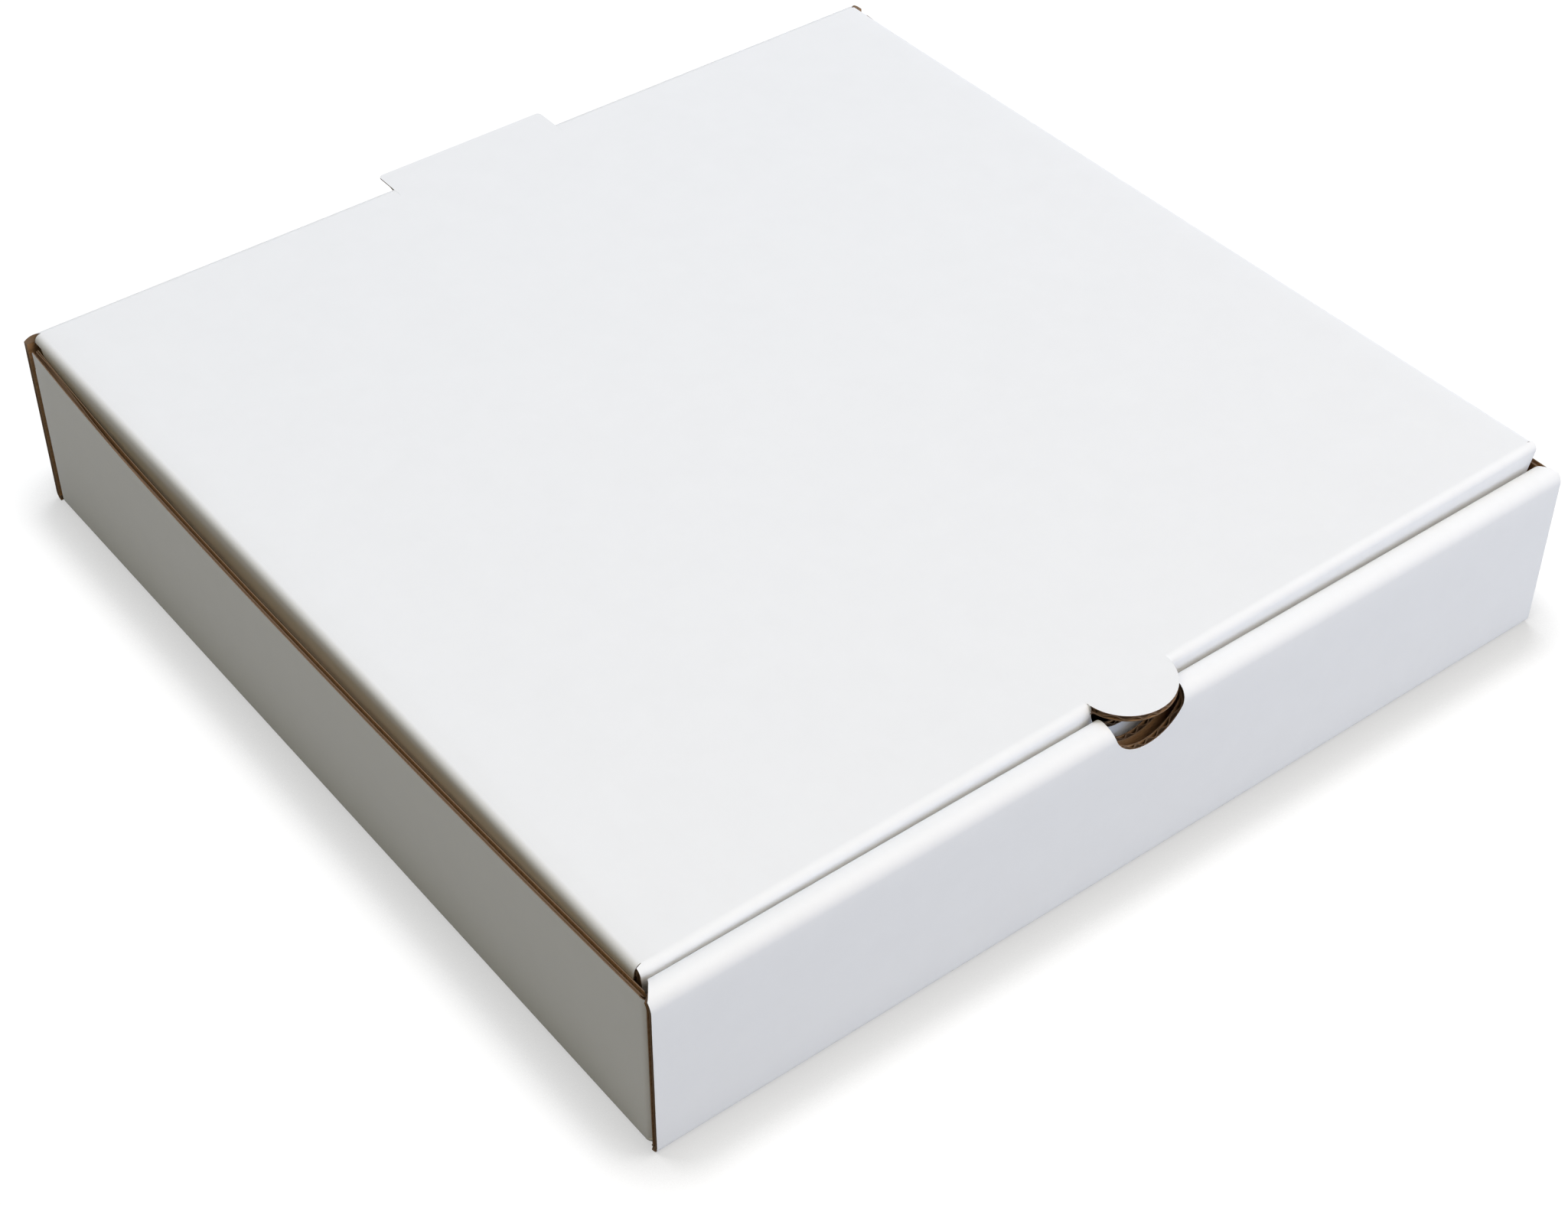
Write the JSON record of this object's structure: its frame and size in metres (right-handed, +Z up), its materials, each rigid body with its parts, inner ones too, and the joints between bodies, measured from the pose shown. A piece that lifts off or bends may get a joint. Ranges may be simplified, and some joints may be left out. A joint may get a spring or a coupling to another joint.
{
  "type": "pizza box",
  "caption": "Square shallow pizza box folded from white corrugated board, with a hinged tuck-in lid, a half-round thumb notch and tab at the front and a small tab behind.",
  "frame": {"origin": "middle of the underside, midway between the side walls and between the front and back faces", "axes": "+Z up, -Y towards the front wall with the thumb notch, +Y towards the hinge, +X to the right seen from the front"},
  "size_m": [0.258, 0.2665, 0.0505],
  "materials": {
    "white_board": "matt"
  },
  "bodies": {
    "tray": {"tray": "white_board"},
    "lid": {"lid": "white_board"}
  },
  "joints": [
    {"name": "lid_hinge", "type": "hinge", "parent": "tray", "child": "lid", "pos_m": [0, 0.129, 0.0505], "axis": [-1, 0, 0], "range_deg": [0, 180]}
  ]
}
